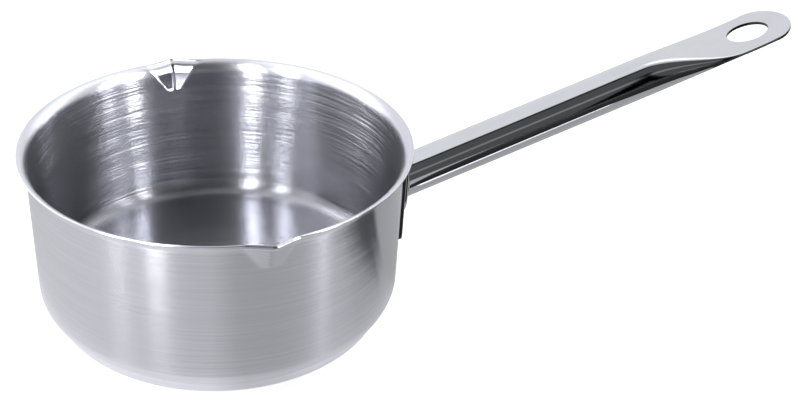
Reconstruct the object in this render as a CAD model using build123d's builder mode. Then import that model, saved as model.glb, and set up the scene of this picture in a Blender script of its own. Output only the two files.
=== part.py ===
from build123d import *
import math
import os

# Milk pan with two pouring lips and a hollow steel handle.
# Lengths in millimetres. Origin: middle of the underside of the base.
# +Z is up along the axis of the pan, +X runs along the handle,
# and the two pouring lips face -Y and +Y.

# Pan body, drawn from one sheet
sheet = 0.8
inner_radius = 80.0
total_height = 77.0
corner_radius = 9.6
flare_radius = 5.1
flare_turn = 75

# Base: an aluminium disc closed in by a steel cap
cap_sheet = 0.6
core_thickness = 3.6
base_step = 5.6
base_edge_radius = 1.7
cap_lip_gap = 0.08
core_side_gap = 0.1

# Pouring lips, pressed out of wall and rim
lip_drop = 13.4
lip_foot_depth = 1.6
lip_foot_turn = 50
lip_reach = 3.7
lip_half_angle = 68
lip_nose_radius = 3.4
lip_punch_half_width = 20.0

# Mount plate on the wall, with a raised seat for the handle
mount_sheet = 2.0
mount_gap = 0.1
mount_width = 54.0
mount_height = 36.0
mount_corner = 5.0
mount_drop = 33.5
seat_stand = 3.9
seat_width = 25.0
seat_height = 33.0
seat_corner = 11.5
seat_draft = 14
seat_edge_radius = 1.2

# Handle: a round tube, pressed flat at its outer end
tube_radius = 9.5
tube_sheet = 0.8
tube_flat_share = 0.02
tube_join_drop = 0.5
handle_rise = 16.1
tube_straight = 125.5
press_length = 47.0
blade_length = 30.8
blade_bend_radius = 330.0
blade_edge_radius = 0.35
hang_hole_length = 19.6
hang_hole_width = 14.6
hang_hole_inset = 20.0
weld_leg = 1.6
weld_toe = 0.15

# One length that every cutting body runs past what it cuts
overrun = 5.0

# Sizes that follow from the ones above
wall_radius = inner_radius + sheet
base_radius = wall_radius - base_step
floor_under = cap_sheet + core_thickness
turn = math.radians(flare_turn)
flare_start = total_height - (flare_radius + sheet) * math.sin(turn)
rim_radius = wall_radius + flare_radius * (1 - math.cos(turn))
rim_top_radius = wall_radius + flare_radius - (flare_radius + sheet) * math.cos(turn)
mount_inner = wall_radius + mount_gap
mount_outer = mount_inner + mount_sheet
seat_face = mount_outer + seat_stand
mount_middle_height = total_height - mount_drop
tube_join_height = mount_middle_height - tube_join_drop
rise = math.radians(handle_rise)


# Outline of the pan on one face of its sheet: floor, corner, wall and flare
def pan_outline(radius, floor_z, bend, flare, end_points):
    Line((0, floor_z), (radius - bend, floor_z))
    CenterArc((radius - bend, floor_z + bend), bend, -90, 90)
    Line((radius, floor_z + bend), (radius, flare_start))
    flare_arc = CenterArc((radius + flare, flare_start), flare, 180, -flare_turn)
    Polyline(flare_arc @ 1, *end_points, (0, floor_z))


# Radius of the lip's ridge at a height: it leaves the wall at the foot,
# deepens on the way up and bends outward with the flare
lip_foot_height = total_height - lip_drop
lip_lean = math.atan((rim_radius + lip_reach - wall_radius) / lip_drop)
lip_angle = math.radians(lip_half_angle)
lip_step = sheet / (math.sin(lip_angle) * math.cos(lip_lean))
lip_levels = 6
lip_punch_depth = 2 * lip_punch_half_width


def ridge_radius(z):
    climb = math.sin(math.pi / 2 * (z - lip_foot_height) / lip_drop)
    flare_rise = min(max(z - flare_start, 0) / flare_radius, math.sin(turn))
    flare_reach = flare_radius * (1 - math.cos(math.asin(flare_rise)))
    return wall_radius + flare_reach + lip_foot_depth + (lip_reach - lip_foot_depth) * climb


# Section of the V-shaped punch of one lip: side -1 or 1, tip radius and height
def punch_section(side, tip, z, nose):
    wing = tip - lip_punch_half_width / math.tan(lip_angle)
    back = tip - lip_punch_depth
    points = [
        (-lip_punch_half_width, side * back),
        (-lip_punch_half_width, side * wing),
        (0, side * tip),
        (lip_punch_half_width, side * wing),
        (lip_punch_half_width, side * back),
    ]
    with BuildSketch(Plane.XY.offset(z)) as section:
        with BuildLine():
            Polyline(*points, close=True)
        make_face()
        nose_corner = section.vertices().sort_by(Axis.Y)[0 if side < 0 else -1]
        fillet(nose_corner, nose)
    return section.sketch


# The punch from its foot up to the rim, and the slope under its foot
def punch_rise(side, inset, nose):
    levels = [lip_foot_height + lip_drop * n / lip_levels for n in range(lip_levels + 1)]
    return [punch_section(side, ridge_radius(z) - inset, z, nose) for z in levels]


def punch_foot(side, inset, nose):
    tip = ridge_radius(lip_foot_height) - inset
    run_in = overrun * math.tan(math.radians(lip_foot_turn))
    return [
        punch_section(side, tip - run_in, lip_foot_height - overrun, nose),
        punch_section(side, tip, lip_foot_height, nose),
    ]


with BuildPart() as pan_body:
    with BuildSketch(Plane.XZ):
        with BuildLine():
            pan_outline(wall_radius, floor_under, corner_radius, flare_radius,
                        [(rim_top_radius, total_height), (0, total_height)])
        make_face()
    revolve(axis=Axis.Z)
    for side in (-1, 1):
        loft(punch_foot(side, 0, lip_nose_radius), ruled=True)
        loft(punch_rise(side, 0, lip_nose_radius))
    with BuildSketch(Plane.XZ):
        with BuildLine():
            pan_outline(inner_radius, floor_under + sheet, corner_radius - sheet, flare_radius + sheet,
                        [(rim_top_radius, total_height + overrun), (0, total_height + overrun)])
        make_face()
    revolve(axis=Axis.Z, mode=Mode.SUBTRACT)
    for side in (-1, 1):
        loft(punch_foot(side, lip_step, lip_nose_radius - sheet), ruled=True, mode=Mode.SUBTRACT)
        loft(punch_rise(side, lip_step, lip_nose_radius - sheet), mode=Mode.SUBTRACT)


# Base cap: a shallow steel cup whose lip ends just under the pan's corner
cap_inner_radius = base_radius - cap_sheet
corner_middle = floor_under + corner_radius
corner_run = cap_inner_radius - (wall_radius - corner_radius)
cap_top = corner_middle - math.sqrt(corner_radius**2 - corner_run**2) - cap_lip_gap

with BuildPart() as base_cap:
    with BuildSketch(Plane.XZ):
        with BuildLine():
            Line((0, 0), (base_radius - base_edge_radius, 0))
            CenterArc((base_radius - base_edge_radius, base_edge_radius), base_edge_radius, -90, 90)
            Polyline((base_radius, base_edge_radius), (base_radius, cap_top),
                     (cap_inner_radius, cap_top), (cap_inner_radius, base_edge_radius))
            CenterArc((base_radius - base_edge_radius, base_edge_radius),
                      base_edge_radius - cap_sheet, 0, -90)
            Polyline((base_radius - base_edge_radius, cap_sheet), (0, cap_sheet), (0, 0))
        make_face()
    revolve(axis=Axis.Z)

core_radius = cap_inner_radius - core_side_gap

with BuildPart() as base_core:
    with BuildSketch(Plane.XY.offset(cap_sheet)):
        Circle(core_radius)
    extrude(amount=core_thickness)
    fillet(base_core.edges().group_by(Axis.Z)[0], base_edge_radius - cap_sheet)


# Mount plate: curved to the wall, with a drawn seat that stands off it
def seat_plane(x):
    return Plane(origin=(x, 0, mount_middle_height), x_dir=(0, 1, 0), z_dir=(-1, 0, 0))


with BuildPart() as handle_mount:
    with BuildSketch(Plane.YZ.offset(inner_radius - mount_width / 2)):
        with Locations((0, mount_middle_height)):
            RectangleRounded(mount_width, mount_height, mount_corner)
    extrude(amount=mount_width)
    with BuildSketch(Plane.XY):
        Circle(mount_outer)
    extrude(amount=total_height, mode=Mode.INTERSECT)
    with BuildSketch(seat_plane(seat_face)):
        RectangleRounded(seat_width, seat_height, seat_corner)
    extrude(amount=seat_face - inner_radius + mount_sheet, taper=-seat_draft)
    seat_top = handle_mount.faces().sort_by(Axis.X)[-1]
    fillet(seat_top.edges(), seat_edge_radius)
    with BuildSketch(Plane.XY):
        Circle(mount_inner)
    extrude(amount=total_height, mode=Mode.SUBTRACT)
    with BuildSketch(seat_plane(seat_face - mount_sheet)):
        RectangleRounded(seat_width - mount_sheet, seat_height - mount_sheet, seat_corner - mount_sheet / 2)
    extrude(amount=seat_face, taper=0, mode=Mode.SUBTRACT)


# Handle: the tube's section is followed from round to flat at equal girth
handle_plane = Plane(origin=(seat_face, 0, tube_join_height), x_dir=(0, 1, 0),
                     z_dir=(math.cos(rise), 0, math.sin(rise)))
side_plane = Plane(origin=(seat_face, 0, tube_join_height), x_dir=(math.cos(rise), 0, math.sin(rise)),
                   z_dir=(0, -1, 0))
blade_plane = Plane(origin=(seat_face, 0, tube_join_height), x_dir=(math.cos(rise), 0, math.sin(rise)),
                    z_dir=(-math.sin(rise), 0, math.cos(rise)))
press_shares = (0, 0.2, 0.4, 0.6, 0.8, 1)
hollow_shares = (0, 0.2, 0.4, 0.6, 0.8, 0.9)


def half_height(share):
    ease = share * share * (3 - 2 * share)
    return tube_radius + (tube_sheet - tube_radius) * ease


def half_width(share):
    high = half_height(share)
    return high + math.pi / 2 * (tube_radius - high)


blade_half_width = half_width(1)


def tube_section(along, share, inset):
    wide = half_width(share) - inset
    high = half_height(share) - inset
    with BuildSketch(handle_plane.offset(along)) as section:
        RectangleRounded(2 * wide, 2 * high, high * (1 - tube_flat_share))
    return section.sketch


def pressed_sections(shares, inset):
    return [tube_section(tube_straight + press_length * share, share, inset) for share in shares]


blade_turn = math.degrees((blade_length + overrun) / blade_bend_radius)
press_end = tube_straight + press_length

with BuildPart() as blade:
    with BuildSketch(side_plane):
        with BuildLine():
            lower = CenterArc((press_end, blade_bend_radius), blade_bend_radius + tube_sheet, -90, blade_turn)
            upper = CenterArc((press_end, blade_bend_radius), blade_bend_radius - tube_sheet, -90, blade_turn)
            Line(lower @ 0, upper @ 0)
            Line(lower @ 1, upper @ 1)
        make_face()
    extrude(amount=blade_half_width, both=True)
    with BuildSketch(blade_plane.offset(-blade_length)):
        with Locations((press_end + blade_length - blade_half_width, 0)):
            Circle(blade_half_width)
        with Locations((press_end + (blade_length - blade_half_width) / 2, 0)):
            Rectangle(blade_length - blade_half_width, 2 * blade_half_width)
        with Locations((press_end + blade_length - hang_hole_inset, 0)):
            Ellipse(hang_hole_length / 2, hang_hole_width / 2, mode=Mode.SUBTRACT)
    extrude(amount=2 * blade_length, mode=Mode.INTERSECT)
    broad_faces = blade.faces().sort_by(SortBy.AREA)[-2:]
    fillet(broad_faces.edges().filter_by(Axis.Y, reverse=True), blade_edge_radius)

with BuildPart() as handle:
    extrude(tube_section(-tube_radius, 0, 0), amount=tube_radius + tube_straight)
    loft(pressed_sections(press_shares, 0))
    add(blade.part)
    extrude(tube_section(-tube_radius, 0, tube_sheet), amount=tube_radius + tube_straight, mode=Mode.SUBTRACT)
    loft(pressed_sections(hollow_shares, tube_sheet), mode=Mode.SUBTRACT)
    split(bisect_by=Plane.YZ.offset(seat_face), keep=Keep.TOP)


# Weld bead round the root of the tube
def bead_section(height, leg):
    climb = height * math.tan(rise)
    with BuildSketch(Plane.YZ.offset(seat_face + height)) as section:
        with Locations((0, tube_join_height + climb)):
            Ellipse(tube_radius + leg, tube_radius / math.cos(rise) + leg)
    return section.sketch


with BuildPart() as handle_weld:
    loft([bead_section(0, weld_leg), bead_section(weld_leg, weld_toe)], ruled=True)
    extrude(tube_section(-tube_radius, 0, 0), amount=tube_radius + tube_straight, mode=Mode.SUBTRACT)


os.makedirs("parts", exist_ok=True)
pieces = {
    "pan_body": pan_body,
    "base_core": base_core,
    "base_cap": base_cap,
    "handle_mount": handle_mount,
    "handle": handle,
    "handle_weld": handle_weld,
}
for label, piece in pieces.items():
    piece.part.label = label
    export_step(piece.part, f"parts/{label}.step")
    print(label, round(piece.part.volume, 1), piece.part.bounding_box())
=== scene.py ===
import math

import bpy
import numpy as np
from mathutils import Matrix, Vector


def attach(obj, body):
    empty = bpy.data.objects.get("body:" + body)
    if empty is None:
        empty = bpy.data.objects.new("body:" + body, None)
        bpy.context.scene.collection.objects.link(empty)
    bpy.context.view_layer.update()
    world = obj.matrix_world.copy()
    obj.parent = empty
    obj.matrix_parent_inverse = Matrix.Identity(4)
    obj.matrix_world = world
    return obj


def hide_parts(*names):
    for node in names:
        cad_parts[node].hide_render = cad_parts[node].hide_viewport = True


# A steel milk pan: brushed shell with two pressed lips, capped base, polished tube handle.
# The camera and the studio are in metres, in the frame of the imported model. The sizes of the pieces are
# in millimetres and degrees, and mm turns lengths into metres.

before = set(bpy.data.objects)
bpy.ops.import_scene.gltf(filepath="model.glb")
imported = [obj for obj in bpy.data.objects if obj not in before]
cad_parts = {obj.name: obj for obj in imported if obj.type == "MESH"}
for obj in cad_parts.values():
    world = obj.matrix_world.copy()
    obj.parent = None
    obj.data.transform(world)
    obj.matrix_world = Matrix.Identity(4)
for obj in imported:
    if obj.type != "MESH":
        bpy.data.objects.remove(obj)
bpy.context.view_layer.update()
mm = 0.001
print("frame loaded, nodes:", sorted(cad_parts))


# Camera, as the photograph was taken
cameraSet = {
    "place": (-0.1005, -0.4049, 0.2969),
    "looks": (0.2438, 0.8194, -0.5188),
    "lens": 49.5, "sensor": 36,  # both in millimetres
    "shift": 0.175,  # the optical axis is left of the picture's middle
    "nearest": 0.01,  # what is closer to the lens isn't drawn
}

cameraData = bpy.data.cameras.new("photoCamera")
cameraData.sensor_width = cameraSet["sensor"]
cameraData.lens = cameraSet["lens"]
cameraData.shift_x = cameraSet["shift"]
cameraData.clip_start = cameraSet["nearest"]
camera = bpy.data.objects.new("photoCamera", cameraData)
bpy.context.scene.collection.objects.link(camera)
camera.location = cameraSet["place"]
camera.rotation_mode = "QUATERNION"
camera.rotation_quaternion = Vector(cameraSet["looks"]).to_track_quat("-Z", "Y")
bpy.context.scene.camera = camera
bpy.context.scene.view_settings.view_transform = "Standard"


# Helpers for node trees: feed gives a node's inputs, by name or number, values or outputs of other nodes
def feed(tree, node, inputs):
    for key, value in inputs.items():
        if isinstance(value, bpy.types.NodeSocket):
            tree.links.new(value, node.inputs[key])
        else:
            node.inputs[key].default_value = value


def addNode(tree, kind, inputs=None, **properties):
    node = tree.nodes.new(kind)
    for key, value in properties.items():
        setattr(node, key, value)
    feed(tree, node, inputs or {})
    return node


def maths(tree, operation, *terms):
    return addNode(tree, "ShaderNodeMath", dict(enumerate(terms)), operation=operation).outputs[0]


def vectorMaths(tree, operation, *terms):
    return addNode(tree, "ShaderNodeVectorMath", dict(enumerate(terms)), operation=operation).outputs[0]


def scaled(tree, vector, scale):
    return addNode(tree, "ShaderNodeVectorMath", {0: vector, "Scale": scale}, operation="SCALE").outputs[0]


def splitOf(tree, vector):
    return addNode(tree, "ShaderNodeSeparateXYZ", {0: vector}).outputs


def mapRange(tree, value, fromLow, fromHigh, toLow, toHigh, smooth=False):
    inputs = {"Value": value, "From Min": fromLow, "From Max": fromHigh, "To Min": toLow, "To Max": toHigh}
    shape = "SMOOTHSTEP" if smooth else "LINEAR"
    return addNode(tree, "ShaderNodeMapRange", inputs, interpolation_type=shape).outputs["Result"]


# Brightness by a value, between stops that each have a position and a level
def ramp(tree, value, stops):
    node = addNode(tree, "ShaderNodeValToRGB", {"Fac": value})
    elements = node.color_ramp.elements
    while len(elements) > 1:
        elements.remove(elements[-1])
    for number, (position, level) in enumerate(stops):
        element = elements[0] if number == 0 else elements.new(position)
        element.position = position
        element.color = (level, level, level, 1)
    return node.outputs["Color"]


# A node group with its inputs and outputs, both by name and kind of socket
def newGroup(name, kind, inputs, outputs):
    group = bpy.data.node_groups.new(name, kind)
    for direction, sockets in (("INPUT", inputs), ("OUTPUT", outputs)):
        for socket, socketKind in sockets.items():
            group.interface.new_socket(socket, in_out=direction, socket_type="NodeSocket" + socketKind)
    return group, addNode(group, "NodeGroupInput").outputs


# The value that a mask holds at each point of a piece; 0 where the piece has no such mask
def maskOf(tree, name):
    return addNode(tree, "ShaderNodeAttribute", attribute_name=name).outputs["Fac"]


# Node group: hair lines that a brushing belt leaves round the axis
def makeTurnedLines():
    group, given = newGroup("turnedLines", "ShaderNodeTree",
                            {"Along": "Float", "Across": "Float", "Streak": "Float"},
                            {"Lines": "Float", "Streaks": "Float"})
    x, y, z = splitOf(group, addNode(group, "ShaderNodeTexCoord").outputs["Object"])
    squares = maths(group, "ADD", maths(group, "MULTIPLY", x, x), maths(group, "MULTIPLY", y, y))
    across = maths(group, "ADD", maths(group, "SQRT", squares), z)  # grows towards the rim
    made = {}
    for output, share, detail in (("Lines", "Across", 3.0), ("Streaks", "Streak", 2.0)):
        place = addNode(group, "ShaderNodeCombineXYZ", {
            0: maths(group, "MULTIPLY", x, given["Along"]),
            1: maths(group, "MULTIPLY", y, given["Along"]),
            2: maths(group, "MULTIPLY", across, given[share])})
        noise = addNode(group, "ShaderNodeTexNoise", {
            "Vector": place.outputs[0], "Scale": 1.0, "Detail": detail, "Roughness": 0.65})
        made[output] = noise.outputs["Fac"]
    addNode(group, "NodeGroupOutput", made)
    return group


# Node group: normal that the brushed lines tip to and fro across their own run
def makeTippedNormal():
    group, given = newGroup("tippedNormal", "ShaderNodeTree", {"Tip": "Float"}, {"Normal": "Vector"})
    normal = addNode(group, "ShaderNodeNewGeometry").outputs["Normal"]
    aroundAxis = addNode(group, "ShaderNodeTangent", direction_type="RADIAL", axis="Z").outputs[0]
    push = scaled(group, vectorMaths(group, "CROSS_PRODUCT", normal, aroundAxis), given["Tip"])
    tipped = vectorMaths(group, "NORMALIZE", vectorMaths(group, "ADD", normal, push))
    addNode(group, "NodeGroupOutput", {"Normal": tipped})
    return group


# Node group: faint cloudiness and wipe marks of steel that is polished along the handle
def makePolishMarks():
    group, given = newGroup("polishMarks", "ShaderNodeTree",
                            {"Cloud Scale": "Float", "Mark Scale": "Float"},
                            {"Cloud": "Float", "Marks": "Float"})
    where = addNode(group, "ShaderNodeTexCoord").outputs["Object"]
    stretched = addNode(group, "ShaderNodeMapping", {"Vector": where, "Scale": (0.06, 1.0, 1.0)}).outputs[0]
    cloud = addNode(group, "ShaderNodeTexNoise", {
        "Vector": where, "Scale": given["Cloud Scale"], "Detail": 3.0})
    marks = addNode(group, "ShaderNodeTexNoise", {
        "Vector": stretched, "Scale": given["Mark Scale"], "Detail": 4.0, "Roughness": 0.7})
    addNode(group, "NodeGroupOutput", {"Cloud": cloud.outputs["Fac"], "Marks": marks.outputs["Fac"]})
    return group


turnedLines = makeTurnedLines()
tippedNormal = makeTippedNormal()
polishMarks = makePolishMarks()


# Materials
noiseMiddle = (0.3, 0.7)  # the noise stays mostly between these, so they are stretched over the whole mix
markMiddle = (0.3, 0.75)  # the same for the wipe marks
firstReflection = 1.5  # a count of reflections above this is a later one


def newMaterial(name):
    material = bpy.data.materials.new(name)
    material.use_nodes = True
    tree = material.node_tree
    shader = tree.nodes["Principled BSDF"]
    shader.inputs["Metallic"].default_value = 1.0
    return material, tree, shader


def colourBetween(tree, factor, low, high):
    inputs = {"Factor": factor, "A": (*low, 1), "B": (*high, 1)}
    return addNode(tree, "ShaderNodeMix", inputs, data_type="RGBA").outputs["Result"]


# Brushed metal. A look's rows of five are for the outer wall, inner wall, inner floor, flare and lips.
def makeBrushedSteel(name, look):
    material, tree, shader = newMaterial(name)
    lines = addNode(tree, "ShaderNodeGroup", {
        "Along": look["along"], "Across": look["across"], "Streak": look["streak"]}, node_tree=turnedLines)
    hair = lines.outputs["Lines"]
    streak = lines.outputs["Streaks"]
    inside, bottom, flare, lip = (maskOf(tree, mask) for mask in ("inside", "bottom", "flare", "lip"))

    def byPlace(key):
        outer, wall, floor, rim, pressed = look[key]
        value = mapRange(tree, inside, 0, 1, outer, mapRange(tree, bottom, 0, 1, wall, floor))
        return mapRange(tree, lip, 0, 1, mapRange(tree, flare, 0, 1, value, rim), pressed)

    # painted shade: darker in the corner between wall and floor, where the mask of the bottom is halfway
    halfway = maths(tree, "MULTIPLY", bottom, maths(tree, "SUBTRACT", 1.0, bottom))
    inCorner = maths(tree, "MULTIPLY", maths(tree, "MULTIPLY", halfway, 4.0), inside)
    shade = mapRange(tree, inCorner, 0, 1, byPlace("shade"), look["cornerShade"])
    # painted shade: inside the pan later reflections get a darker colour, so what goes to and fro there dies
    # down sooner than plain steel lets it
    ray = addNode(tree, "ShaderNodeLightPath")
    late = maths(tree, "GREATER_THAN", ray.outputs["Glossy Depth"], firstReflection)
    kept = mapRange(tree, maths(tree, "MULTIPLY", late, inside), 0, 1, shade, look["lateShade"])
    paintedSeamShade = mapRange(tree, maskOf(tree, "seam"), 0, 1, 1.0, look["seamShade"])  # painted shade where the shell goes under the base cap's lip
    steel = colourBetween(tree, mapRange(tree, streak, *noiseMiddle, 0, 1), look["dark"], look["light"])
    fineTip = maths(tree, "MULTIPLY", maths(tree, "SUBTRACT", hair, 0.5), byPlace("tip"))
    coarseTip = maths(tree, "MULTIPLY", maths(tree, "SUBTRACT", streak, 0.5), byPlace("streakTip"))
    tipped = addNode(tree, "ShaderNodeGroup", {"Tip": maths(tree, "ADD", fineTip, coarseTip)},
                     node_tree=tippedNormal)
    tangent = addNode(tree, "ShaderNodeTangent", direction_type="RADIAL", axis="Z")
    feed(tree, shader, {
        "Base Color": scaled(tree, steel, maths(tree, "MULTIPLY", kept, paintedSeamShade)),
        "Roughness": byPlace("rough"), "Anisotropic": look["anisotropic"],
        "Anisotropic Rotation": look["turn"], "Tangent": tangent.outputs[0],
        "Normal": tipped.outputs["Normal"]})
    return material


# Polished steel, with painted shade on the sawn or sheared edges that the cut mask marks
def makePolishedSteel(name, look):
    material, tree, shader = newMaterial(name)
    marks = addNode(tree, "ShaderNodeGroup", {
        "Cloud Scale": look["cloudScale"], "Mark Scale": look["markScale"]}, node_tree=polishMarks)
    fine = marks.outputs["Marks"]
    cloud = mapRange(tree, marks.outputs["Cloud"], *noiseMiddle, 0, 1)
    cutEdgeShade = mapRange(tree, maskOf(tree, "cut"), 0, 1, 1.0, look["cutShade"])
    bump = addNode(tree, "ShaderNodeBump", {
        "Height": fine, "Strength": look["bump"], "Distance": look["bumpDepth"]})
    feed(tree, shader, {
        "Base Color": scaled(tree, colourBetween(tree, cloud, look["dark"], look["light"]), cutEdgeShade),
        "Roughness": mapRange(tree, fine, *markMiddle, look["rough"], look["rough"] + look["roughSpread"]),
        "Normal": bump.outputs["Normal"]})
    return material


# a turn of 0.25 lets the hair lines run round the axis
evenShade = {"shade": (1.0,) * 5, "cornerShade": 1.0, "lateShade": 1.0, "seamShade": 1.0}
panSteel = makeBrushedSteel("panBrushedSteel", {
    "along": 18.0, "across": 9000.0, "streak": 2400.0,
    "dark": (0.66, 0.665, 0.725), "light": (0.72, 0.725, 0.79),
    "rough": (0.24, 0.27, 0.22, 0.27, 0.12),
    "tip": (0.7, 2.9, 0.6, 0.4, 0.0), "streakTip": (0.025, 0.02, 0.03, 0.01, 0.0),
    # shade: painted shade on the inner wall and inner floor, painted light on the flare
    "shade": (1.0, 0.88, 0.85, 1.1, 1.0), "cornerShade": 0.42, "lateShade": 0.15, "seamShade": 0.15,
    "anisotropic": 0.9, "turn": 0.25,
})
capSteel = makeBrushedSteel("baseCapSteel", {
    "along": 25.0, "across": 6000.0, "streak": 1200.0,
    "dark": (0.72, 0.725, 0.79), "light": (0.77, 0.775, 0.84),
    "rough": (0.34,) * 5, "tip": (0.3,) * 5, "streakTip": (0.05,) * 5,
    **evenShade, "anisotropic": 0.6, "turn": 0.25,
})
coreAluminium = makeBrushedSteel("coreAluminium", {
    "along": 15.0, "across": 2400.0, "streak": 300.0,
    "dark": (0.72, 0.73, 0.74), "light": (0.84, 0.84, 0.85),
    "rough": (0.42,) * 5, "tip": (0.3,) * 5, "streakTip": (0.1,) * 5,
    **evenShade, "anisotropic": 0.3, "turn": 0.25,
})
handleSteel = makePolishedSteel("handlePolishedSteel", {
    "cloudScale": 45.0, "markScale": 1200.0,
    "dark": (0.69, 0.705, 0.745), "light": (0.74, 0.755, 0.80),
    "rough": 0.05, "roughSpread": 0.06, "bump": 0.03, "bumpDepth": 0.00005, "cutShade": 0.12,
})
mountSteel = makePolishedSteel("mountPolishedSteel", {
    "cloudScale": 80.0, "markScale": 1400.0,
    "dark": (0.66, 0.67, 0.71), "light": (0.74, 0.75, 0.79),
    "rough": 0.07, "roughSpread": 0.07, "bump": 0.05, "bumpDepth": 0.00005, "cutShade": 0.05,
})
weldSteel = makePolishedSteel("weldSteel", {
    "cloudScale": 700.0, "markScale": 3000.0,
    "dark": (0.55, 0.54, 0.54), "light": (0.70, 0.70, 0.71),
    "rough": 0.18, "roughSpread": 0.14, "bump": 0.15, "bumpDepth": 0.0001, "cutShade": 1.0,
})
print("materials made")


# Helpers for pieces made point by point
def makePiece(name, points, faces, material, node, masks=None):
    mesh = bpy.data.meshes.new(name)
    mesh.from_pydata([tuple(place) for place in points], [], faces)
    mesh.validate()
    mesh.shade_smooth()
    for mask, values in (masks or {}).items():
        layer = mesh.attributes.new(mask, "FLOAT", "POINT")
        layer.data.foreach_set("value", np.asarray(values, np.float32))
    mesh.materials.append(material)
    piece = bpy.data.objects.new(name, mesh)
    bpy.context.scene.collection.objects.link(piece)
    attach(piece, "root")
    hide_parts(node)
    print(name, "made,", len(mesh.polygons), "faces")
    return piece


# Faces of a piece whose points are a first one, rows that each run once round, and a last one. The rows
# run anticlockwise round the first point, seen from outside; turned is for rows that run clockwise.
def closedRows(rowCount, count, turned=False):
    faces = []
    for row in range(rowCount - 1):
        here = 1 + row * count
        there = here + count
        for k in range(count):
            n = (k + 1) % count
            faces.append((here + k, there + k, there + n, here + n))
    end = 1 + (rowCount - 1) * count
    last = end + count
    for k in range(count):
        n = (k + 1) % count
        faces.append((0, 1 + k, 1 + n))
        faces.append((last, end + n, end + k))
    return [tuple(reversed(face)) for face in faces] if turned else faces


# Points of rows that run round the pan's axis, between a first and a last point on it
def roundPoints(radius, height, angles, firstHeight, lastHeight):
    rows = np.stack([radius * np.cos(angles), radius * np.sin(angles), height], -1) * mm
    return [(0, 0, firstHeight * mm), *rows.reshape(-1, 3), (0, 0, lastHeight * mm)]


# An arc in the cross-section, as distances from the axis and heights; angle 0 is straight down
def arc(middle, radius, start, end, count):
    return [(middle[0] + radius * math.sin(a), middle[1] - radius * math.cos(a))
            for a in np.linspace(start, end, count)]


# Pan shell: one sheet, floor to rim, with a V pressed outward at each lip
shellSet = {
    "sheet": 0.8, "innerRadius": 80.0, "height": 77.0, "floorUnder": 4.2,
    "corner": 9.6, "flare": 5.1, "flareTurn": 75.0, "edgeRound": 0.22,
    "lipDrop": 13.4, "lipFootDepth": 1.6, "lipFootTurn": 50.0, "lipReach": 3.7,
    "lipHalfAngle": 68.0, "lipNose": 3.4, "creaseSoftness": 0.38,
    "lipMargin": 3.0,  # the close rows start this far under the lip
    "lipSector": 11.0, "lipEnd": 12.0, "lipStep": 0.2, "wideStep": 1.25,  # degrees round the axis
    "underRadii": (20.0, 45.0, 62.0), "floorRadii": (62.0, 52.0, 42.0, 32.0, 22.0, 12.0, 4.0),
    "cornerRows": 28, "innerCornerRows": 19, "wallRows": 16, "lipRows": 34, "flareRows": 21, "edgeRows": 4,
    "seamTop": 5.5, "seamFade": 0.3, "flareFade": 0.6, "lipFade": 0.35,  # borders of the masks
}
flareTurn = math.radians(shellSet["flareTurn"])
lipHalfAngle = math.radians(shellSet["lipHalfAngle"])
wallRadius = shellSet["innerRadius"] + shellSet["sheet"]
flareStart = shellSet["height"] - (shellSet["flare"] + shellSet["sheet"]) * math.sin(flareTurn)
rimRadius = wallRadius + shellSet["flare"] * (1 - math.cos(flareTurn))
cornerMiddle = (wallRadius - shellSet["corner"], shellSet["floorUnder"] + shellSet["corner"])
lipFoot = shellSet["height"] - shellSet["lipDrop"]
lipLow = lipFoot - shellSet["lipMargin"]


# Distance of the lip's ridge from the pan's axis, by height
def ridgeRadius(z):
    shell = shellSet
    climb = np.sin(math.pi / 2 * np.clip((z - lipFoot) / shell["lipDrop"], 0, 1))
    rise = np.clip((z - flareStart) / shell["flare"], 0, math.sin(flareTurn))
    reach = shell["flare"] * (1 - np.cos(np.arcsin(rise)))
    under = np.clip(lipFoot - z, 0, None) * math.tan(math.radians(shell["lipFootTurn"]))
    outward = shell["lipFootDepth"] + (shell["lipReach"] - shell["lipFootDepth"]) * climb
    return wallRadius + reach + outward - under


# Distance of the pressed V from the pan's axis, at an angle off the lip's middle
def pressedRadius(angle, z, inset, nose):
    tip = ridgeRadius(z) - inset
    side = tip / (np.cos(angle) + np.abs(np.sin(angle)) / math.tan(lipHalfAngle))
    middle = tip - nose / math.sin(lipHalfAngle)
    under = nose**2 - (middle * np.sin(angle)) ** 2
    noseArc = middle * np.cos(angle) + np.sqrt(np.clip(under, 0, None))
    onNose = (under > 0) & (np.abs(noseArc * np.sin(angle)) < nose * math.cos(lipHalfAngle))
    return np.where(onNose, noseArc, side)


def softLarger(a, b, softness):
    near = np.clip(softness - np.abs(a - b), 0, None) / softness
    return np.maximum(a, b) + near**2 * softness / 4


# The cut edge of the sheet, softly rounded, and how deep in the sheet its rows lie
def sheetEdge():
    shell = shellSet
    r = shell["edgeRound"]
    outerCorner = np.array([rimRadius, flareStart + shell["flare"] * math.sin(flareTurn)])
    along = np.array([math.sin(flareTurn), math.cos(flareTurn)])  # the way the sheet runs at its edge
    through = np.array([-math.cos(flareTurn), math.sin(flareTurn)])  # from its outer to its inner face
    start = outerCorner - along * r
    quarter = np.linspace(0, math.pi / 2, shell["edgeRows"])
    edge = [start + along * r * math.sin(a) + through * r * (1 - math.cos(a)) for a in quarter]
    across = shell["sheet"] - r
    edge += [start + along * r * math.cos(a) + through * (across + r * math.sin(a)) for a in quarter]
    depth = [float(np.dot(place - outerCorner, through)) / shell["sheet"] for place in edge]
    return [tuple(place) for place in edge], depth


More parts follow.
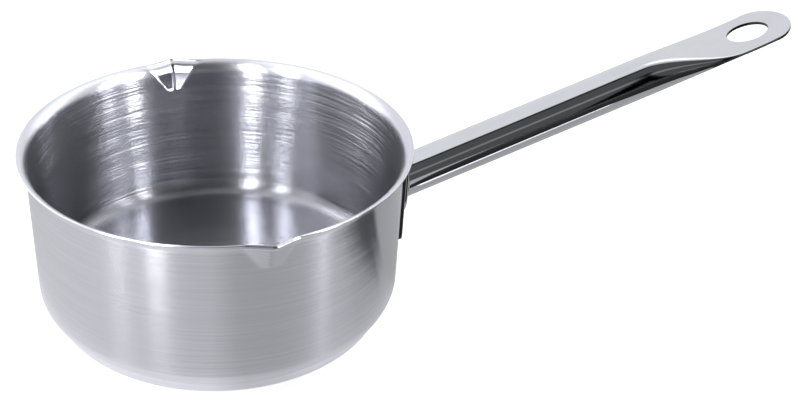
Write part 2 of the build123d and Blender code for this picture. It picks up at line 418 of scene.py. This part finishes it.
# Rows of the sheet from its underside over the edge to its floor, as distance from the axis and height,
# and their depth in the sheet: 0 outside, 1 inside
def shellRows():
    shell = shellSet
    bellMiddle = wallRadius + shell["flare"]
    bell = shell["flare"] + shell["sheet"]
    bends = np.linspace(0, flareTurn, shell["flareRows"])
    heights = [*np.linspace(cornerMiddle[1], lipLow, shell["wallRows"])[:-1],
               *np.linspace(lipLow, flareStart, shell["lipRows"])]
    outside = [(radius, shell["floorUnder"]) for radius in shell["underRadii"]]
    outside += arc(cornerMiddle, shell["corner"], 0, math.pi / 2, shell["cornerRows"])
    outside += [(wallRadius, z) for z in heights[1:]]
    outside += [(bellMiddle - shell["flare"] * math.cos(a), flareStart + shell["flare"] * math.sin(a))
                for a in bends[1:-1]]
    inside = [(bellMiddle - bell * math.cos(a), flareStart + bell * math.sin(a)) for a in bends[-2::-1]]
    inside += [(shell["innerRadius"], z) for z in heights[-2::-1]]
    innerCorner = shell["corner"] - shell["sheet"]
    inside += arc(cornerMiddle, innerCorner, math.pi / 2, 0, shell["innerCornerRows"])[1:]
    inside += [(radius, shell["floorUnder"] + shell["sheet"]) for radius in shell["floorRadii"]]
    edge, edgeDepth = sheetEdge()
    depth = [0.0] * len(outside) + edgeDepth + [1.0] * len(inside)
    return np.array(outside + edge + inside), np.array(depth)


# Angles round the axis, close together at the two lips
def shellAngles():
    shell = shellSet
    close = np.radians(np.arange(-shell["lipSector"], shell["lipSector"], shell["lipStep"]))
    wide = np.radians(np.arange(shell["lipSector"], 180 - shell["lipSector"], shell["wideStep"]))
    return np.concatenate([lip + part for lip in (-math.pi / 2, math.pi / 2) for part in (close, wide)])


# Distance from the axis of every point: that of its row, or that of the pressed V where this is larger
def shellRadius(rows, depth, angles):
    shell = shellSet
    off = np.arctan2(np.cos(angles), np.abs(np.sin(angles)))  # angle off the nearer lip
    lean = math.atan((rimRadius + shell["lipReach"] - wallRadius) / shell["lipDrop"])
    step = shell["sheet"] / (math.sin(lipHalfAngle) * math.cos(lean))
    pressed = np.array([pressedRadius(off, z, deep * step, shell["lipNose"] - deep * shell["sheet"])
                        for (_, z), deep in zip(rows, depth)])
    plain = rows[:, :1] + 0 * angles
    inLip = (rows[:, 1:] > lipLow) & (np.abs(off) < math.radians(shell["lipEnd"]))
    return np.where(inLip, softLarger(plain, pressed, shell["creaseSoftness"]), plain)


def makeShell():
    shell = shellSet
    rows, depth = shellRows()
    angles = shellAngles()
    radius = shellRadius(rows, depth, angles)
    z = rows[:, 1:] + 0 * angles
    inside = depth[:, None] + 0 * angles
    cosine = np.clip((cornerMiddle[1] - z) / (shell["corner"] - 0.5 * shell["sheet"]), 0, 1)
    masks = {
        "flare": np.clip((z - flareStart + shell["flareFade"]) / (2 * shell["flareFade"]), 0, 1),
        "lip": np.clip((radius - rows[:, :1]) / shell["lipFade"], 0, 1),
        "inside": inside,
        "bottom": np.arcsin(cosine) / (math.pi / 2),  # 0 up to the wall, 1 on the floor
        "seam": np.where(inside > 0, 0.0, np.clip((shell["seamTop"] - z) / shell["seamFade"], 0, 1)),
    }
    ends = {"inside": (0, 1), "bottom": (1, 1)}  # at the middle of the underside and of the floor
    for name, values in masks.items():
        first, last = ends.get(name, (0, 0))
        masks[name] = [first, *values.reshape(-1), last]
    points = roundPoints(radius, z, angles, shell["floorUnder"], shell["floorUnder"] + shell["sheet"])
    faces = closedRows(len(rows), len(angles), turned=True)
    return makePiece("panShell", points, faces, panSteel, "pan_body", masks)


panShell = makeShell()


# Base cap: steel cup under the pan, its lip just under the corner
capSet = {
    "radius": 75.2, "sheet": 0.6, "top": 4.742, "edge": 1.7, "lipRound": 0.2,
    "underRadii": (15.0, 40.0, 62.0), "floorRadius": 40.0,
    "edgeRows": 11, "wallRows": 5, "lipRows": 5, "innerEdgeRows": 7, "count": 360,
}


def makeCap():
    cap = capSet
    inner = cap["radius"] - cap["sheet"]
    edgeMiddle = (cap["radius"] - cap["edge"], cap["edge"])
    lipMiddle = (cap["radius"] - cap["lipRound"], cap["top"] - cap["lipRound"])
    rows = [(radius, 0.0) for radius in cap["underRadii"]]
    rows += arc(edgeMiddle, cap["edge"], 0, math.pi / 2, cap["edgeRows"])
    rows += [(cap["radius"], z) for z in np.linspace(cap["edge"], lipMiddle[1], cap["wallRows"])[1:]]
    rows += arc(lipMiddle, cap["lipRound"], math.pi / 2, math.pi, cap["lipRows"])[1:]
    rows += [(inner, cap["top"]), (inner, cap["edge"])]
    rows += arc(edgeMiddle, cap["edge"] - cap["sheet"], math.pi / 2, 0, cap["innerEdgeRows"])[1:]
    rows += [(cap["floorRadius"], cap["sheet"])]
    rows = np.array(rows)
    angles = np.linspace(0, 2 * math.pi, cap["count"], endpoint=False)
    points = roundPoints(rows[:, :1], rows[:, 1:] + 0 * angles, angles, 0.0, cap["sheet"])
    faces = closedRows(len(rows), len(angles), turned=True)
    return makePiece("baseCap", points, faces, capSteel, "base_cap")


baseCap = makeCap()


# Mount plate: curved to the wall, with the drawn seat for the handle
mountSet = {
    "outer": 82.9, "inner": 80.9, "width": 54.0, "height": 36.0, "corner": 5.0, "middle": 43.5,
    "seatFace": 86.8, "seatWidth": 25.0, "seatHeight": 33.0, "seatCorner": 11.5, "seatDraft": 14.0,
    "seatRound": 1.2, "edgeRound": 0.5, "footFillet": 0.45, "footLift": 0.02,
    # shares of the way out over the face, down the draft, out over the plate and back in over its back
    "faceShares": (0.3, 0.6, 0.85), "draftShares": (0.2, 0.4, 0.6, 0.8, 0.92),
    "plateShares": (0.15, 0.35, 0.6, 0.85, 1.0), "backShares": (0.7, 0.35),
    "seatRows": 7, "edgeRows": 5, "polishedRows": 2,  # rows of the rounded edge that aren't sheared and get no painted shade
    "count": 288, "halvings": 48, "cornerGap": 0.001,
}


# Points round a rectangle with rounded corners, at even angles
def roundedOutline(width, height, corner):
    plate = mountSet
    corner = min(corner, width / 2 - plate["cornerGap"], height / 2 - plate["cornerGap"])
    halfWidth, halfHeight = width / 2 - corner, height / 2 - corner
    points = []
    for k in range(plate["count"]):
        a = 2 * math.pi * k / plate["count"]
        dx, dy = math.cos(a), math.sin(a)
        low, high = 0.0, width + height
        for _ in range(plate["halvings"]):  # close in on the place where the ray meets the outline
            way = (low + high) / 2
            x, y = abs(way * dx), abs(way * dy)
            gap = math.hypot(max(x - halfWidth, 0), max(y - halfHeight, 0)) - corner
            if gap < 0:
                low = way
            else:
                high = way
        points.append((low * dx, low * dy))
    return np.array(points)


def seatRing(grow):
    plate = mountSet
    return roundedOutline(plate["seatWidth"] + 2 * grow, plate["seatHeight"] + 2 * grow,
                          plate["seatCorner"] + grow)


# How far out a ring's points lie on a face that is curved round the pan's axis
def curvedX(ring, radius):
    return np.sqrt(radius**2 - ring[:, 0] ** 2)


# Rings of the plate from its seat to its back, each as (y, z) places and how far out they lie,
# and the number of the first ring on its sheared edge
def mountRings():
    plate = mountSet
    draft = math.tan(math.radians(plate["seatDraft"]))
    flatX = plate["seatFace"] - plate["seatRound"]
    rings = [(seatRing(-plate["seatRound"]) * share, plate["seatFace"]) for share in plate["faceShares"]]
    for a in np.linspace(0, math.pi / 2, plate["seatRows"]):
        ring = seatRing(-plate["seatRound"] * (1 - math.sin(a)))
        rings.append((ring, plate["seatFace"] - plate["seatRound"] * (1 - math.cos(a))))
    foot = curvedX(seatRing(0), plate["outer"])
    for share in plate["draftShares"]:
        x = flatX + (foot - flatX) * share
        rings.append((seatRing(float(np.mean((flatX - x) * draft))), x))
    footRing = seatRing((plate["seatFace"] - plate["outer"]) * draft + plate["footFillet"])
    rings.append((footRing, curvedX(footRing, plate["outer"]) + plate["footLift"]))
    border = roundedOutline(plate["width"], plate["height"], plate["corner"])
    r = plate["edgeRound"]
    inside = roundedOutline(plate["width"] - 2 * r, plate["height"] - 2 * r, plate["corner"] - r)
    for share in plate["plateShares"]:
        ring = footRing + (inside - footRing) * share
        rings.append((ring, curvedX(ring, plate["outer"])))
    shearedFrom = len(rings) + plate["polishedRows"]
    for a in np.linspace(0, math.pi / 2, plate["edgeRows"])[1:]:
        ring = inside + (border - inside) * math.sin(a)
        rings.append((ring, curvedX(ring, plate["outer"] - r * (1 - math.cos(a)))))
    for share in (1.0, *plate["backShares"]):
        rings.append((border * share, curvedX(border * share, plate["inner"])))
    return rings, shearedFrom


def makeMount():
    plate = mountSet
    rings, shearedFrom = mountRings()
    points = [(plate["seatFace"] * mm, 0, plate["middle"] * mm)]
    for ring, x in rings:
        places = np.column_stack([np.broadcast_to(x, len(ring)), ring[:, 0], ring[:, 1] + plate["middle"]])
        points += list(places * mm)
    points.append((plate["inner"] * mm, 0, plate["middle"] * mm))
    polished = 1 + shearedFrom * plate["count"]
    cutMask = [0.0] * polished + [1.0] * (len(points) - polished)
    faces = closedRows(len(rings), plate["count"])
    return makePiece("handleMount", points, faces, mountSteel,
                     "handle_mount", {"cut": cutMask})


handleMount = makeMount()


# Handle: a tube that is pressed flat, with a hanging eye in the flat end
handleSet = {
    "root": (mountSet["seatFace"], 43.0), "rise": 16.1, "radius": 9.5, "wall": 0.8,
    "straight": 125.5, "press": 47.0, "blade": 30.73, "bend": 330.0,
    "eyeLength": 19.6, "eyeWidth": 14.6, "eyeInset": 19.95,
    "cutRound": 0.24, "cutRoundShare": 0.3,  # how far in the round's middle point lies, as a share of it
    "seamDepth": 0.1, "seamHalf": 0.1,  # line in the cut edge where the two pressed walls meet
    "cutBefore": 2.0, "cutOver": 7.0,  # the folded side turns into the cut tip from here, over this length
    "squareFrom": 6.0,  # the rows follow the slanting root up to here
    "faceSlack": 0.01,  # points this close to the flat faces aren't sawn and get no painted shade
    "count": 192, "foldCount": 8,  # as many steps as the profile of the cut edge has
    "rootRows": 5, "tubeRows": 41, "pressRows": 49,
    "sideSteps": 36, "tipSteps": 80, "eyeRings": 12, "eyeSpread": 1.6,
}
handleRise = math.radians(handleSet["rise"])
pressEnd = handleSet["straight"] + handleSet["press"]
bladeHalf = handleSet["wall"] + math.pi / 2 * (handleSet["radius"] - handleSet["wall"])
tipMiddle = pressEnd + handleSet["blade"] - bladeHalf
eyeMiddle = pressEnd + handleSet["blade"] - handleSet["eyeInset"]
flatCount = (handleSet["count"] // 2 - handleSet["foldCount"]) // 2  # points from mid-top to the fold


def eased(share):
    share = min(max(share, 0), 1)
    return share * share * (3 - 2 * share)


# A point of the handle: how far along, how far aside, and how far above its middle line
def handlePoint(u, y, v):
    x0, z0 = handleSet["root"]
    return ((x0 + u * math.cos(handleRise) - v * math.sin(handleRise)) * mm, y * mm,
            (z0 + u * math.sin(handleRise) + v * math.cos(handleRise)) * mm)


# A point of the blade, which bends up a little
def bladePoint(u, y, v):
    bend = handleSet["bend"]
    if u <= pressEnd:
        return handlePoint(u, y, v)
    a = math.asin(min((u - pressEnd) / bend, 1))
    return handlePoint(u - v * math.sin(a), y, bend * (1 - math.cos(a)) + v * math.cos(a))


# Point k of the tube's section at equal girth, from the middle of its top
def sectionPoint(k, high):
    handle = handleSet
    girth = 2 * math.pi * handle["radius"]
    flat = math.pi / 2 * (handle["radius"] - high)
    a = (k % handle["count"]) / handle["count"] * girth
    if a <= flat:
        return a, high
    if a <= flat + math.pi * high:
        t = (a - flat) / high
        return flat + high * math.sin(t), high * math.cos(t)
    if a <= 3 * flat + math.pi * high:
        return flat - (a - flat - math.pi * high), -high
    if a <= 3 * flat + 2 * math.pi * high:
        t = (a - 3 * flat - math.pi * high) / high
        return -flat - high * math.sin(t), -high * math.cos(t)
    return a - girth, high


# The handle grows in a draft, which holds points, faces and how much each point is sawn, which sets its
# painted shade.
# This adds a point and gives its number.
def addPoint(draft, place, cutEdgeShade=0.0):
    draft["points"].append(place)
    draft["cut"].append(cutEdgeShade)
    return len(draft["points"]) - 1


# Faces between neighbouring rows of points; turned ones look to the other side
def joinRows(draft, rows, closed=True, turned=False):
    for here, there in zip(rows, rows[1:]):
        for k in range(len(here) if closed else len(here) - 1):
            n = (k + 1) % len(here)
            if turned:
                draft["faces"].append((here[k], there[k], there[n], here[n]))
            else:
                draft["faces"].append((here[k], here[n], there[n], there[k]))


# Tube, from its slanting root to the end of the press; gives the points of that end
def addTube(draft):
    handle = handleSet
    section = [sectionPoint(k, handle["radius"]) for k in range(handle["count"])]
    rows = []
    for share in np.linspace(0, 1, handle["rootRows"]):
        slant = math.tan(handleRise) * (1 - share)
        rows.append([addPoint(draft, handlePoint(v * slant + handle["squareFrom"] * share, y, v))
                     for y, v in section])
    for u in np.linspace(handle["squareFrom"], handle["straight"], handle["tubeRows"])[1:]:
        rows.append([addPoint(draft, handlePoint(u, y, v)) for y, v in section])
    for share in np.linspace(0, 1, handle["pressRows"])[1:]:
        u = handle["straight"] + handle["press"] * share
        high = handle["radius"] + (handle["wall"] - handle["radius"]) * eased(share)
        section = [sectionPoint(k, high) for k in range(handle["count"])]
        rows.append([addPoint(draft, handlePoint(u, y, v)) for y, v in section])
    joinRows(draft, rows, turned=True)
    draft["faces"].append(tuple(rows[0]))
    return rows[-1]


# Outline of the blade along one side, round the tip and back: places and outward directions
def bladeOutline():
    handle = handleSet
    sideShares = np.linspace(0, 1, handle["sideSteps"] + 1)
    side = tipMiddle - pressEnd
    outline = [(pressEnd + side * share, -bladeHalf, 0.0, -1.0) for share in sideShares[:-1]]
    for n in range(handle["tipSteps"]):
        a = -math.pi / 2 + math.pi * n / handle["tipSteps"]
        du, dy = math.cos(a), math.sin(a)
        outline.append((tipMiddle + bladeHalf * du, bladeHalf * dy, du, dy))
    outline += [(tipMiddle - side * share, bladeHalf, 0.0, 1.0) for share in sideShares]
    return outline


# How much of a cut edge the blade's folded side has become
def cutShare(u):
    return eased((u - (tipMiddle - handleSet["cutBefore"])) / handleSet["cutOver"])


# The wall from the top face to the bottom one, as inset and height: folded at share 0, cut at share 1
def wallProfile(share):
    handle = handleSet
    wall, r = handle["wall"], handle["cutRound"]
    part = r * handle["cutRoundShare"]
    cut = [(r, wall), (part, wall - part), (0, wall - r), (0, handle["seamHalf"]), (handle["seamDepth"], 0),
           (0, -handle["seamHalf"]), (0, r - wall), (part, part - wall), (r, -wall)]
    turns = np.linspace(0, math.pi, handle["foldCount"] + 1)
    fold = [(wall * (1 - math.sin(t)), wall * math.cos(t)) for t in turns]
    return [(foldIn + (cutIn - foldIn) * share, foldUp + (cutUp - foldUp) * share)
            for (foldIn, foldUp), (cutIn, cutUp) in zip(fold, cut)]


# Edge wall of the blade, in columns that run from its top face to its bottom one
def addEdgeWall(draft, tubeEnd, outline):
    handle = handleSet
    folds = range(handle["foldCount"] + 1)
    columns = [[tubeEnd[(-flatCount - i) % handle["count"]] for i in folds]]
    for u, y, du, dy in outline[1:-1]:
        share = cutShare(u)
        columns.append([
            addPoint(draft, bladePoint(u - du * back, y - dy * back, up),
                     share if abs(up) < handle["wall"] - handle["faceSlack"] else 0.0)
            for back, up in wallProfile(share)])
    columns.append([tubeEnd[flatCount + i] for i in folds])
    joinRows(draft, columns, closed=False)
    return columns


def eyeSpot(a, grow):
    handle = handleSet
    return (eyeMiddle + (handle["eyeLength"] / 2 + grow) * math.cos(a),
            (handle["eyeWidth"] / 2 + grow) * math.sin(a))


# Top face of the blade at side 1 or bottom face at side -1, in rings from its outline in to the eye;
# gives the points round the eye and their angles
def addBladeFace(draft, side, tubeEnd, columns, outline):
    handle = handleSet
    folded = flatCount + handle["foldCount"]
    if side > 0:
        level, acrossTube = 0, range(flatCount, -flatCount - 1, -1)
    else:
        level, acrossTube = handle["foldCount"], range(folded, folded + 2 * flatCount + 1)
    border = [tubeEnd[k % handle["count"]] for k in acrossTube] + [column[level] for column in columns[1:-1]]
    spots = [(pressEnd, sectionPoint(k, handle["wall"])[0]) for k in acrossTube]
    for u, y, du, dy in outline[1:-1]:
        back = wallProfile(cutShare(u))[0][0]
        spots.append((u - du * back, y - dy * back))
    angles = [math.atan2(y / (handle["eyeWidth"] / 2), (u - eyeMiddle) / (handle["eyeLength"] / 2))
              for u, y in spots]
    eye = [eyeSpot(a, handle["cutRound"]) for a in angles]
    height = side * handle["wall"]
    rings = [border]
    for ring in range(1, handle["eyeRings"] + 1):
        share = 1 - (1 - ring / handle["eyeRings"]) ** handle["eyeSpread"]
        rings.append([
            addPoint(draft, bladePoint(u + (eyeU - u) * share, y + (eyeY - y) * share, height))
            for (u, y), (eyeU, eyeY) in zip(spots, eye)])
    joinRows(draft, rings, turned=side < 0)
    return rings[-1], angles


def makeHandle():
    draft = {"points": [], "faces": [], "cut": []}
    tubeEnd = addTube(draft)
    outline = bladeOutline()
    columns = addEdgeWall(draft, tubeEnd, outline)
    eyeTop, _ = addBladeFace(draft, 1, tubeEnd, columns, outline)
    eyeBottom, angles = addBladeFace(draft, -1, tubeEnd, columns, outline)
    levels = [[addPoint(draft, bladePoint(*eyeSpot(a, back), up), 1.0) for a in angles]
              for back, up in wallProfile(1)[1:-1]]
    joinRows(draft, [eyeTop, *levels, eyeBottom])
    return makePiece("panHandle", draft["points"], draft["faces"], handleSteel,
                     "handle", {"cut": draft["cut"]})


panHandle = makeHandle()


# Weld bead: ripples that follow the slanting foot of the tube
weldSet = {
    "foot": (87.15, 43.0), "outward": 0.35, "bead": 0.95,
    "ripples": 58, "rippleDepth": 0.10, "steps": 464, "sectionSteps": 16,
}


# Geometry Nodes tree that sweeps a rippled bead along an upright ellipse
def makeBeadTree():
    tree, given = newGroup("weldBead", "GeometryNodeTree", {
        "Half Width": "Float", "Half Height": "Float", "Bead": "Float", "Ripple Depth": "Float",
        "Ripples": "Int", "Steps": "Int", "Section Steps": "Int", "Place": "Vector", "Material": "Material",
    }, {"Geometry": "Geometry"})
    tree.is_modifier = True
    path = addNode(tree, "GeometryNodeCurvePrimitiveCircle", {"Resolution": given["Steps"], "Radius": 1.0})
    x, y, _ = splitOf(tree, addNode(tree, "GeometryNodeInputPosition").outputs[0])
    upright = addNode(tree, "ShaderNodeCombineXYZ", {
        1: maths(tree, "MULTIPLY", x, given["Half Width"]),
        2: maths(tree, "MULTIPLY", y, given["Half Height"])})
    placed = addNode(tree, "GeometryNodeSetPosition", {
        "Geometry": path.outputs["Curve"],
        "Position": vectorMaths(tree, "ADD", upright.outputs[0], given["Place"])})

    along = addNode(tree, "GeometryNodeSplineParameter").outputs["Factor"]
    turn = maths(tree, "MULTIPLY", maths(tree, "MULTIPLY", along, given["Ripples"]), 2 * math.pi)
    wave = maths(tree, "MULTIPLY_ADD", maths(tree, "SINE", turn), given["Ripple Depth"], 1.0)
    rippled = addNode(tree, "GeometryNodeSetCurveRadius", {
        "Curve": placed.outputs["Geometry"], "Radius": wave})
    section = addNode(tree, "GeometryNodeCurvePrimitiveCircle", {
        "Resolution": given["Section Steps"], "Radius": given["Bead"]})
    swept = addNode(tree, "GeometryNodeCurveToMesh", {
        "Curve": rippled.outputs["Curve"], "Profile Curve": section.outputs["Curve"]})
    smooth = addNode(tree, "GeometryNodeSetShadeSmooth", {"Geometry": swept.outputs["Mesh"]})
    plain = addNode(tree, "GeometryNodeRealizeInstances", {"Geometry": smooth.outputs["Geometry"]})
    dressed = addNode(tree, "GeometryNodeSetMaterial", {
        "Geometry": plain.outputs["Geometry"], "Material": given["Material"]})
    addNode(tree, "NodeGroupOutput", {"Geometry": dressed.outputs["Geometry"]})
    return tree


def makeWeld():
    weld = weldSet
    x, z = weld["foot"]
    halfWidth = handleSet["radius"] + weld["outward"]
    halfHeight = handleSet["radius"] / math.cos(handleRise) + weld["outward"]
    piece = bpy.data.objects.new("weldBead", bpy.data.meshes.new("weldBeadStart"))
    bpy.context.scene.collection.objects.link(piece)
    tree = makeBeadTree()
    modifier = piece.modifiers.new("weldBead", "NODES")
    modifier.node_group = tree
    values = {
        "Half Width": halfWidth * mm, "Half Height": halfHeight * mm, "Bead": weld["bead"] * mm,
        "Ripple Depth": weld["rippleDepth"], "Ripples": weld["ripples"], "Steps": weld["steps"],
        "Section Steps": weld["sectionSteps"], "Place": (x * mm, 0.0, z * mm), "Material": weldSteel,
    }
    for item in tree.interface.items_tree:
        if item.item_type == "SOCKET" and item.in_out == "INPUT":
            modifier[item.identifier] = values[item.name]
    piece.update_tag()
    graph = bpy.context.evaluated_depsgraph_get()
    mesh = bpy.data.meshes.new_from_object(piece.evaluated_get(graph))
    piece.modifiers.remove(modifier)
    mesh.name = "weldBead"
    piece.data = mesh
    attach(piece, "root")
    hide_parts("handle_weld")
    print("weldBead made,", len(mesh.polygons), "faces")


makeWeld()


# Base core stays as the model has it, with its own metal
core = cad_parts["base_core"]
core.data.materials.clear()
core.data.materials.append(coreAluminium)
print("kept node dressed")


# Floor, studio and light
studioSet = {
    "floorSize": 4.0, "floorColour": (0.80, 0.80, 0.80), "floorGlow": 0.66,
    "floorShown": (  # what metal sees of the floor, by direction from the pan's middle, in degrees
        (0, 0.45), (60, 0.75), (140, 0.68), (165, 0.74), (200, 0.74), (235, 0.62), (252, 0.65), (264, 0.49),
        (276, 0.47), (310, 0.50), (335, 0.50), (345, 0.42), (360, 0.45)),
    "nearLevel": 1.45, "nearFrom": 0.085, "nearTo": 0.100,  # brighter floor close round the base
    "cardLevel": 0.0008, "cardColour": (0.01, 0.01, 0.01), "cardRough": 0.9, "stripGlow": 1.6,
    "cards": (  # corners of the two black cards on the floor, with a thin gap between them
        ((0.105, -0.048), (0.262, -0.098), (0.300, -0.060), (0.312, 0.060), (1.9, 0.9), (1.9, -0.400),
         (0.238, -0.400)),
        ((0.243, -0.414), (1.9, -0.414), (1.9, -1.9), (0.80, -1.9))),
    # seen by the handle only, beside its dark side
    "whiteStrip": ((0.120, -0.053), (0.120, -0.040), (0.262, -0.086), (0.262, -0.098)),
    "sides": (  # brightness of the room by direction, in degrees from the handle
        (0, 1.20), (10, 1.80), (25, 1.60), (45, 0.88), (120, 0.90), (150, 2.10), (168, 1.70), (190, 1.20),
        (200, 0.50), (210, 0.35), (238, 0.25), (255, 0.10), (282, 0.09), (312, 0.09), (318, 0.55),
        (335, 0.70), (352, 0.85), (360, 1.20)),
    "lights": {  # tall narrow soft boxes: foot x, y, then from and to height, width, brightness
        "frontLeft": (-0.177, -0.193, 0.05, 0.42, 0.036, 18.0),
        "left": (-0.4395, -0.2003, 0.05, 0.60, 0.060, 15.0),
        "right": (0.379, -0.424, 0.05, 0.55, 0.060, 21.0),
        "farRight": (0.990, -0.620, 0.10, 1.30, 0.110, 9.0),
        "backLeft": (-0.094, 0.131, 0.10, 0.26, 0.030, 7.0),
    },
    # the same, for the handle only
    "handleLights": {"handleStreak": (0.800, -1.900, 1.15, 1.60, 1.60, 0.24)},
    "top": 0.9, "topFrom": 0.972, "topTo": 0.988,  # sine of the height above the horizon
    # darker band of the room under its bright top, in the front part of the turn
    "bandFrom": 0.93, "bandTo": 0.955, "bandLevel": 0.15, "frontFrom": 0.70, "frontTo": 0.87,
    "roomColour": (0.985, 0.99, 1.0),
}


# Direction round the axis as a share of a whole turn, from the handle
def turnShareOf(tree, x, y):
    turned = maths(tree, "DIVIDE", maths(tree, "ARCTAN2", y, x), 2 * math.pi)
    return maths(tree, "FRACT", maths(tree, "ADD", turned, 1.0))


def emission(tree, strength):
    return addNode(tree, "ShaderNodeEmission", {"Strength": strength}).outputs[0]


def chosen(tree, share, first, second):
    return addNode(tree, "ShaderNodeMixShader", {0: share, 1: first, 2: second}).outputs[0]


def emptyMaterial(name):
    material = bpy.data.materials.new(name)
    material.use_nodes = True
    material.node_tree.nodes.clear()
    return material, material.node_tree


def makeFloor():
    material, tree = emptyMaterial("floorWhite")
    ray = addNode(tree, "ShaderNodeLightPath").outputs
    # the camera sees plain white with a glow, other rays the plain white alone
    plain = addNode(tree, "ShaderNodeBsdfDiffuse", {"Color": (*studioSet["floorColour"], 1)}).outputs[0]
    glowing = addNode(tree, "ShaderNodeAddShader", {0: plain, 1: emission(tree, studioSet["floorGlow"])})
    lit = chosen(tree, ray["Is Camera Ray"], plain, glowing.outputs[0])
    # the metal sees a brightness that goes by direction and by nearness to the base
    where = addNode(tree, "ShaderNodeTexCoord").outputs["Object"]
    x, y, _ = splitOf(tree, where)
    stops = [(angle / 360, level) for angle, level in studioSet["floorShown"]]
    fromMiddle = addNode(tree, "ShaderNodeVectorMath", {0: where}, operation="LENGTH").outputs["Value"]
    nearBase = mapRange(tree, fromMiddle, studioSet["nearFrom"], studioSet["nearTo"],
                        studioSet["nearLevel"], 1.0, smooth=True)
    shown = emission(tree, maths(tree, "MULTIPLY", ramp(tree, turnShareOf(tree, x, y), stops), nearBase))
    inMetal = maths(tree, "MAXIMUM", ray["Is Glossy Ray"], ray["Is Transmission Ray"])
    addNode(tree, "ShaderNodeOutputMaterial", {"Surface": chosen(tree, inMetal, lit, shown)})

    half = studioSet["floorSize"] / 2
    corners = [(-half, -half, 0), (half, -half, 0), (half, half, 0), (-half, half, 0)]
    mesh = bpy.data.meshes.new("floor")
    mesh.from_pydata(corners, [], [(0, 1, 2, 3)])
    mesh.materials.append(material)
    floor = bpy.data.objects.new("floor", mesh)
    bpy.context.scene.collection.objects.link(floor)


def glowMaterial(name, level):
    material, tree = emptyMaterial(name)
    addNode(tree, "ShaderNodeOutputMaterial", {"Surface": emission(tree, level)})
    return material


# The only pieces that a light or a card may shine on
def receiversOf(name, pieces):
    receivers = bpy.data.collections.new(name)
    for piece in pieces:
        receivers.objects.link(piece)
    return receivers


# A flat sheet of the studio that shows in reflections only
def stageSheet(name, corners, material, receivers=None):
    mesh = bpy.data.meshes.new(name)
    mesh.from_pydata(corners, [], [tuple(range(len(corners)))])
    mesh.materials.append(material)
    sheet = bpy.data.objects.new(name, mesh)
    bpy.context.scene.collection.objects.link(sheet)
    sheet.visible_camera = False
    sheet.visible_diffuse = False
    sheet.visible_shadow = False
    sheet.visible_transmission = False
    if receivers is not None:
        sheet.light_linking.receiver_collection = receivers


# Tall narrow soft boxes that the metal shows as upright bright bands; the handle keeps its dark side
def makeLights():
    onPan = receiversOf("litBySoftBoxes", (panShell, baseCap, handleMount, core))
    onHandle = receiversOf("litByStreak", (panHandle,))
    boxes = [(name, box, onPan) for name, box in studioSet["lights"].items()]
    boxes += [(name, box, onHandle) for name, box in studioSet["handleLights"].items()]
    for name, (x, y, fromHeight, toHeight, width, level), receivers in boxes:
        away = math.hypot(x, y)
        sideX, sideY = -y / away * width / 2, x / away * width / 2
        corners = [(x - sideX, y - sideY, fromHeight), (x + sideX, y + sideY, fromHeight),
                   (x + sideX, y + sideY, toHeight), (x - sideX, y - sideY, toHeight)]
        stageSheet(name + "Light", corners, glowMaterial(name + "Light", level), receivers)


# Black cards on the floor that draw the handle's dark side, and a white strip in it
def makeCards():
    black = bpy.data.materials.new("cardBlack")
    black.use_nodes = True
    shader = black.node_tree.nodes["Principled BSDF"]
    shader.inputs["Base Color"].default_value = (*studioSet["cardColour"], 1)
    shader.inputs["Roughness"].default_value = studioSet["cardRough"]
    level = studioSet["cardLevel"]
    for number, card in enumerate(studioSet["cards"]):
        stageSheet(f"blackCard{number}", [(x, y, level) for x, y in card], black)
    strip = [(x, y, level) for x, y in studioSet["whiteStrip"]]
    stageSheet("whiteStrip", strip, glowMaterial("stripWhite", studioSet["stripGlow"]),
               receiversOf("litByStrip", (panHandle,)))


# The room: bright above and by direction at the sides, and plain for the camera
def makeWorld():
    world = bpy.data.worlds.new("studio")
    bpy.context.scene.world = world
    world.use_nodes = True
    tree = world.node_tree
    tree.nodes.clear()
    x, y, z = splitOf(tree, addNode(tree, "ShaderNodeTexCoord").outputs["Generated"])
    turnShare = turnShareOf(tree, x, y)
    highest = max(level for _, level in studioSet["sides"])
    stops = [(angle / 360, level / highest) for angle, level in studioSet["sides"]]
    sides = maths(tree, "MULTIPLY", ramp(tree, turnShare, stops), highest)
    front = maths(tree, "MULTIPLY", maths(tree, "GREATER_THAN", turnShare, studioSet["frontFrom"]),
                  maths(tree, "LESS_THAN", turnShare, studioSet["frontTo"]))
    band = mapRange(tree, z, studioSet["bandFrom"], studioSet["bandTo"], 1, studioSet["bandLevel"])
    banded = maths(tree, "MULTIPLY", sides, mapRange(tree, front, 0, 1, 1, band))
    rise = mapRange(tree, z, studioSet["topFrom"], studioSet["topTo"], 0, 1, smooth=True)
    level = addNode(tree, "ShaderNodeMix", {"Factor": rise, "A": banded, "B": studioSet["top"]},
                    data_type="FLOAT")
    room = addNode(tree, "ShaderNodeBackground", {
        "Color": (*studioSet["roomColour"], 1), "Strength": level.outputs["Result"]})
    plain = addNode(tree, "ShaderNodeBackground", {"Strength": 1.0})
    ray = addNode(tree, "ShaderNodeLightPath")
    surface = chosen(tree, ray.outputs["Is Camera Ray"], room.outputs[0], plain.outputs[0])
    addNode(tree, "ShaderNodeOutputWorld", {"Surface": surface})


makeFloor()
makeCards()
makeLights()
makeWorld()
print("floor, cards, lights and room made")
